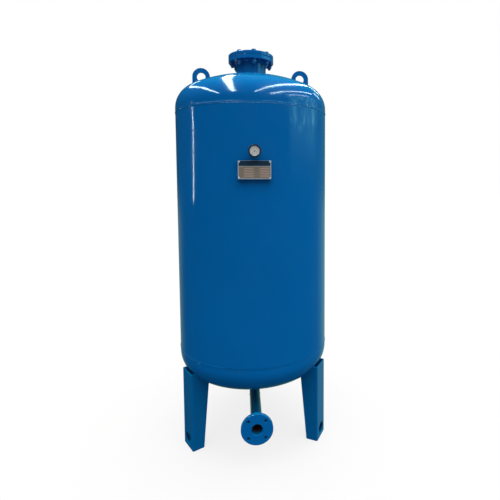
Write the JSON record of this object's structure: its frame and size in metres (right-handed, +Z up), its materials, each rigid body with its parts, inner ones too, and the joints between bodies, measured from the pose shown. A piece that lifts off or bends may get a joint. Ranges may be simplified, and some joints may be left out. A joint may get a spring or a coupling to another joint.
{
  "type": "pressure tank",
  "caption": "Upright steel bladder pressure tank on folded legs, with bolted mouth cover, lifting lugs, pressure gauge, nameplate and flanged outlet.",
  "frame": {"origin": "on the tank's axis at floor level, in the middle of the three anchor holes", "axes": "+Z up along the tank's axis; the gauge, nameplate and outlet look along -Y, the lifting lugs stand towards -X and +X"},
  "size_m": [0.8536, 0.9089, 2.1893],
  "materials": {
    "blue_paint": "gloss paint",
    "zinc_steel": "zinc plated",
    "stainless": "satin",
    "bag_rubber": "matte",
    "brass": "machined",
    "black_enamel": "semi-gloss paint",
    "dial_enamel": "matte white",
    "pointer_enamel": "matte black",
    "window_glass": "clear",
    "plate_metal": "printed and lacquered",
    "rivet_metal": "satin",
    "cap_plastic": "matte"
  },
  "bodies": {
    "tank": {"shell_course": "blue_paint", "top_head": "blue_paint", "bottom_head": "blue_paint", "neck_pipe": "blue_paint", "neck_flange": "blue_paint", "mouth_cover": "blue_paint", "lug_left": "blue_paint", "lug_right": "blue_paint", "leg_left": "blue_paint", "leg_right": "blue_paint", "leg_rear": "blue_paint", "foot_plate_left": "blue_paint", "foot_plate_right": "blue_paint", "foot_plate_rear": "blue_paint", "outlet_stub": "blue_paint", "outlet_elbow": "blue_paint", "outlet_run": "blue_paint", "outlet_flange": "blue_paint", "gauge_boss": "blue_paint", "nameplate_bracket": "blue_paint", "cover_bolts": "zinc_steel", "cover_nuts": "zinc_steel", "cover_washers": "zinc_steel", "bladder_guard": "stainless", "bladder": "bag_rubber", "valve_body": "brass", "valve_core": "brass", "gauge_socket": "brass", "gauge_plates": "brass", "gauge_bourdon": "brass", "gauge_tip": "brass", "gauge_case": "black_enamel", "gauge_bezel": "black_enamel", "gauge_dial": "dial_enamel", "gauge_window": "window_glass", "nameplate": "plate_metal", "nameplate_rivets": "rivet_metal", "valve_cap": "cap_plastic"},
    "pointer": {"gauge_pointer": "pointer_enamel", "gauge_pinion": "brass"},
    "sector": {"gauge_sector": "brass"},
    "link": {"gauge_link": "brass"},
    "valve_pin": {"valve_pin": "brass"}
  },
  "joints": [
    {"name": "sector_swing", "type": "hinge", "parent": "tank", "child": "sector", "pos_m": [0, -0.465, 1.57525], "axis": [0, 1, 0], "range_deg": [-36, 0], "stiffness_Nm_per_rad": 0.05},
    {"name": "link_turn", "type": "hinge", "parent": "sector", "child": "link", "pos_m": [0.00475, -0.467, 1.5737], "axis": [0, 1, 0], "range_deg": [0, 36]},
    {"name": "pointer_turn", "type": "hinge", "parent": "tank", "child": "pointer", "pos_m": [0, -0.47, 1.588], "axis": [0, 1, 0], "range_deg": [0, 270]},
    {"name": "valve_pin_press", "type": "slide", "parent": "tank", "child": "valve_pin", "axis": [0, 0, -1], "range_m": [0, 0.001], "stiffness_N_per_m": 200}
  ],
  "couplings": [
    {"joint": "pointer_turn", "follows": "sector_swing", "ratio": -7.5},
    {"joint": "link_turn", "follows": "sector_swing", "ratio": -1}
  ]
}
